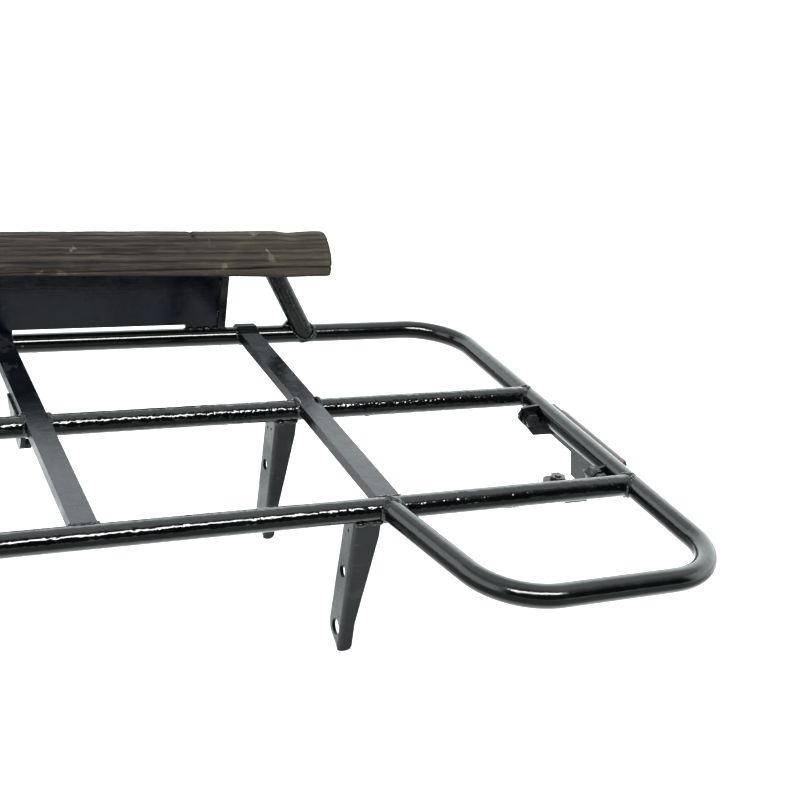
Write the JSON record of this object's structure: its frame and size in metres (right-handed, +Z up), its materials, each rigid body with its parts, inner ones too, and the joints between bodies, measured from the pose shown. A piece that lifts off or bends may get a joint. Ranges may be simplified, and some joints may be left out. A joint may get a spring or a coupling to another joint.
{
  "type": "luggage rack",
  "caption": "Welded tubular luggage rack with flat cross bars, two end lobes, four bracket legs, a ribbed back pad over a sheet panel, and tilting side reflector brackets.",
  "frame": {"origin": "centre of the rack's footprint, on the plane of the feet", "axes": "+X along the rails to the rack's right end, +Y towards the padded side, +Z up"},
  "size_m": [1.056, 0.581, 0.2535],
  "materials": {
    "tube_paint": "gloss black, brushed on thick, with runs",
    "bar_paint": "satin black, brushed on, lightly rubbed",
    "bracket_paint": "semi-gloss black, brushed on",
    "panel_paint": "gloss blue-black",
    "fasteners": "painted over in semi-gloss black",
    "pad_rubber": "aged ribbed brown rubber, scuffed",
    "reflector_body": "black moulded",
    "reflector_lens": "clear red with moulded prisms behind"
  },
  "bodies": {
    "frame": {"back_panel": "panel_paint", "centre_lug": "bracket_paint", "cross_bar_centre": "bar_paint", "cross_bar_left": "bar_paint", "cross_bar_right": "bar_paint", "end_hoop_left": "tube_paint", "end_hoop_right": "tube_paint", "front_pivot_bolt_left": "fasteners", "front_pivot_bolt_right": "fasteners", "front_pivot_nut_left": "fasteners", "front_pivot_nut_right": "fasteners", "front_pivot_washer_left": "fasteners", "front_pivot_washer_right": "fasteners", "inner_rail_front": "tube_paint", "inner_rail_rear": "tube_paint", "leg_front_left": "bracket_paint", "leg_front_right": "bracket_paint", "leg_rear_left": "bracket_paint", "leg_rear_right": "bracket_paint", "pad_core_end_discs": "tube_paint", "pad_core_tube": "tube_paint", "pad_strut_left": "tube_paint", "pad_strut_right": "tube_paint", "panel_edge_bar_left": "panel_paint", "panel_edge_bar_right": "panel_paint", "pivot_tabs_left": "bracket_paint", "pivot_tabs_right": "bracket_paint", "rail_tab_bolt_left": "fasteners", "rail_tab_bolt_right": "fasteners", "rail_tab_left": "bracket_paint", "rail_tab_nut_left": "fasteners", "rail_tab_nut_right": "fasteners", "rail_tab_right": "bracket_paint", "rear_pivot_bolt_left": "fasteners", "rear_pivot_bolt_right": "fasteners", "rear_pivot_nut_left": "fasteners", "rear_pivot_nut_right": "fasteners", "rear_pivot_washer_left": "fasteners", "rear_pivot_washer_right": "fasteners", "rear_rail": "tube_paint", "ribbed_pad": "pad_rubber", "strut_gusset_left": "tube_paint", "strut_gusset_right": "tube_paint"},
    "reflector_arm_right": {"reflector_bracket_right": "bracket_paint", "reflector_housing_right": "reflector_body", "reflector_lens_right": "reflector_lens", "reflector_nuts_right": "fasteners", "reflector_studs_right": "fasteners"},
    "reflector_arm_left": {"reflector_bracket_left": "bracket_paint", "reflector_housing_left": "reflector_body", "reflector_lens_left": "reflector_lens", "reflector_nuts_left": "fasteners", "reflector_studs_left": "fasteners"}
  },
  "joints": [
    {"name": "reflector_tilt_right", "type": "hinge", "parent": "frame", "child": "reflector_arm_right", "pos_m": [0.4845, -0.029, 0.133], "axis": [0, 1, 0], "range_deg": [0, 90]},
    {"name": "reflector_tilt_left", "type": "hinge", "parent": "frame", "child": "reflector_arm_left", "pos_m": [-0.4845, -0.029, 0.133], "axis": [0, -1, 0], "range_deg": [0, 90]}
  ]
}
